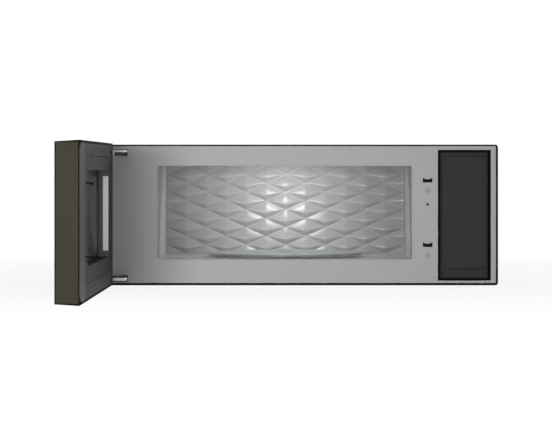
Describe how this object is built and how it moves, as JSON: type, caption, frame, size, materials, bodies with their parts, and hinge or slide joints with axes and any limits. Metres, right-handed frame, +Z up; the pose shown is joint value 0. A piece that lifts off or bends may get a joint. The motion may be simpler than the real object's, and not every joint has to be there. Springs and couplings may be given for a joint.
{
  "type": "over-the-range microwave",
  "caption": "Low-profile over-the-range microwave hood with a full-width left-hinged door, faceted oven cavity, glass turntable, vent blower and grease filters.",
  "frame": {"origin": "bottom centre of the wall face, the rear panel's outer face", "axes": "+X to the right as seen from the room, +Y into the wall, +Z up; the door stands open at 90 degrees at rest"},
  "size_m": [0.7815, 1.1915, 0.2731],
  "materials": {
    "black_case": "satin dark painted sheet steel",
    "grey_enamel": "smooth grey enamel on sheet steel",
    "cavity_enamel": "pale grey semi-gloss cavity enamel",
    "black_stainless": "dark brushed stainless, warm tone",
    "bezel_black": "black moulded trim",
    "dark_plastic": "dark grey fine-grained moulding",
    "cover_plastic": "mid-dark grey moulding",
    "chrome": "bright plated steel",
    "black_glass": "dark tinted glass",
    "clear_glass": "clear tempered glass",
    "lens_plastic": "diffusing lens",
    "mica": "pale mica sheet",
    "white_plastic": "pale plastic",
    "plain_steel": "bare zinc-plated steel",
    "aluminium": "bare aluminium",
    "dark_steel": "dark coated steel screen",
    "laminations": "varnished iron laminations",
    "copper": "enamelled copper winding",
    "circuit": "green circuit board",
    "bush": "natural acetal",
    "bright_trim": "pale satin strip"
  },
  "bodies": {
    "cabinet": {"outer_case": "black_case", "base_panel": "black_case", "rear_panel": "plain_steel", "front_bezel": "bezel_black", "front_plate": "grey_enamel", "hinge_arm_lower": "chrome", "hinge_arm_upper": "chrome", "hinge_pins": "chrome", "cavity_wrap": "cavity_enamel", "cavity_floor": "cavity_enamel", "cavity_back": "cavity_enamel", "waveguide_cover": "mica", "turntable_motor": "plain_steel", "control_pocket": "dark_plastic", "relay_board": "circuit", "latch_housing": "bezel_black", "interlock_switches": "dark_plastic", "waveguide": "aluminium", "magnetron": "plain_steel", "transformer_core": "laminations", "transformer_coils": "copper", "capacitor": "aluminium", "hv_diode": "dark_plastic", "thermal_cutouts": "white_plastic", "cavity_lamp": "white_plastic", "fan_shroud": "dark_plastic", "fan_motor": "laminations", "blower_housing": "plain_steel", "blower_motor": "plain_steel", "exhaust_collar": "plain_steel", "cooktop_lamps": "white_plastic", "lamp_lenses": "lens_plastic", "cord_gland": "bezel_black"},
    "door": {"door_skin": "black_stainless", "door_glass": "black_glass", "touch_glass": "black_glass", "grip_channel": "dark_plastic", "hinge_stile": "plain_steel", "hinge_bushes": "bush", "choke_frame": "dark_steel", "door_liner": "dark_plastic", "door_back": "dark_plastic", "inner_window": "black_glass", "mesh_screen": "dark_steel", "window_strip": "bright_trim", "control_cover": "cover_plastic", "touch_board": "circuit"},
    "latch": {"latch_bar": "bezel_black"},
    "turntable": {"turntable_glass": "clear_glass", "drive_coupler": "white_plastic"},
    "rollers": {"roller_ring": "white_plastic"},
    "roller_a": {"roller_1": "white_plastic"},
    "roller_b": {"roller_2": "white_plastic"},
    "roller_c": {"roller_3": "white_plastic"},
    "vent_wheel": {"blower_wheel": "dark_plastic"},
    "cooling_rotor": {"cooling_fan": "dark_plastic"},
    "damper": {"damper_flap": "plain_steel"},
    "filter_l": {"grease_filter_left": "aluminium"},
    "filter_r": {"grease_filter_right": "aluminium"},
    "plunger": {"door_plunger": "bezel_black"}
  },
  "joints": [
    {"name": "door_hinge", "type": "hinge", "parent": "cabinet", "child": "door", "pos_m": [-0.3735, -0.4385, 0.135], "axis": [0, 0, -1], "range_deg": [-90, 20]},
    {"name": "latch_lift", "type": "slide", "parent": "door", "child": "latch", "axis": [0, 0, 1], "range_m": [0, 0.0012], "stiffness_N_per_m": 200, "springref_m": -0.002},
    {"name": "turntable_spin", "type": "hinge", "parent": "cabinet", "child": "turntable", "pos_m": [-0.0307, -0.2465, 0.05], "axis": [0, 0, 1], "continuous": true},
    {"name": "roller_ring_spin", "type": "hinge", "parent": "cabinet", "child": "rollers", "pos_m": [-0.0307, -0.2465, 0.0458], "axis": [0, 0, 1], "continuous": true},
    {"name": "roller_a_spin", "type": "hinge", "parent": "rollers", "child": "roller_a", "pos_m": [0.0783, -0.2465, 0.0458], "axis": [1, 0, 0], "continuous": true},
    {"name": "roller_b_spin", "type": "hinge", "parent": "rollers", "child": "roller_b", "pos_m": [-0.0852, -0.1521, 0.0458], "axis": [-0.5, 0.866, 0], "continuous": true},
    {"name": "roller_c_spin", "type": "hinge", "parent": "rollers", "child": "roller_c", "pos_m": [-0.0852, -0.3409, 0.0458], "axis": [-0.5, -0.866, 0], "continuous": true},
    {"name": "vent_wheel_spin", "type": "hinge", "parent": "cabinet", "child": "vent_wheel", "pos_m": [-0.32765, -0.236, 0.104], "axis": [1, 0, 0], "continuous": true},
    {"name": "cooling_fan_spin", "type": "hinge", "parent": "cabinet", "child": "cooling_rotor", "pos_m": [0.29695, -0.105, 0.067], "axis": [0, 1, 0], "continuous": true},
    {"name": "damper_swing", "type": "hinge", "parent": "cabinet", "child": "damper", "pos_m": [0, -0.013, 0.2616], "axis": [-1, 0, 0], "range_deg": [0, 80]},
    {"name": "filter_left_drop", "type": "slide", "parent": "cabinet", "child": "filter_l", "axis": [0, 0, -1], "range_m": [0, 0.06]},
    {"name": "filter_right_drop", "type": "slide", "parent": "cabinet", "child": "filter_r", "axis": [0, 0, -1], "range_m": [0, 0.06]},
    {"name": "plunger_press", "type": "slide", "parent": "cabinet", "child": "plunger", "axis": [0, 1, 0], "range_m": [0, 0.003], "stiffness_N_per_m": 150, "springref_m": -0.002}
  ],
  "couplings": [
    {"joint": "roller_ring_spin", "follows": "turntable_spin", "ratio": 0.5},
    {"joint": "roller_a_spin", "follows": "turntable_spin", "ratio": -12.824},
    {"joint": "roller_b_spin", "follows": "turntable_spin", "ratio": -12.824},
    {"joint": "roller_c_spin", "follows": "turntable_spin", "ratio": -12.824}
  ]
}
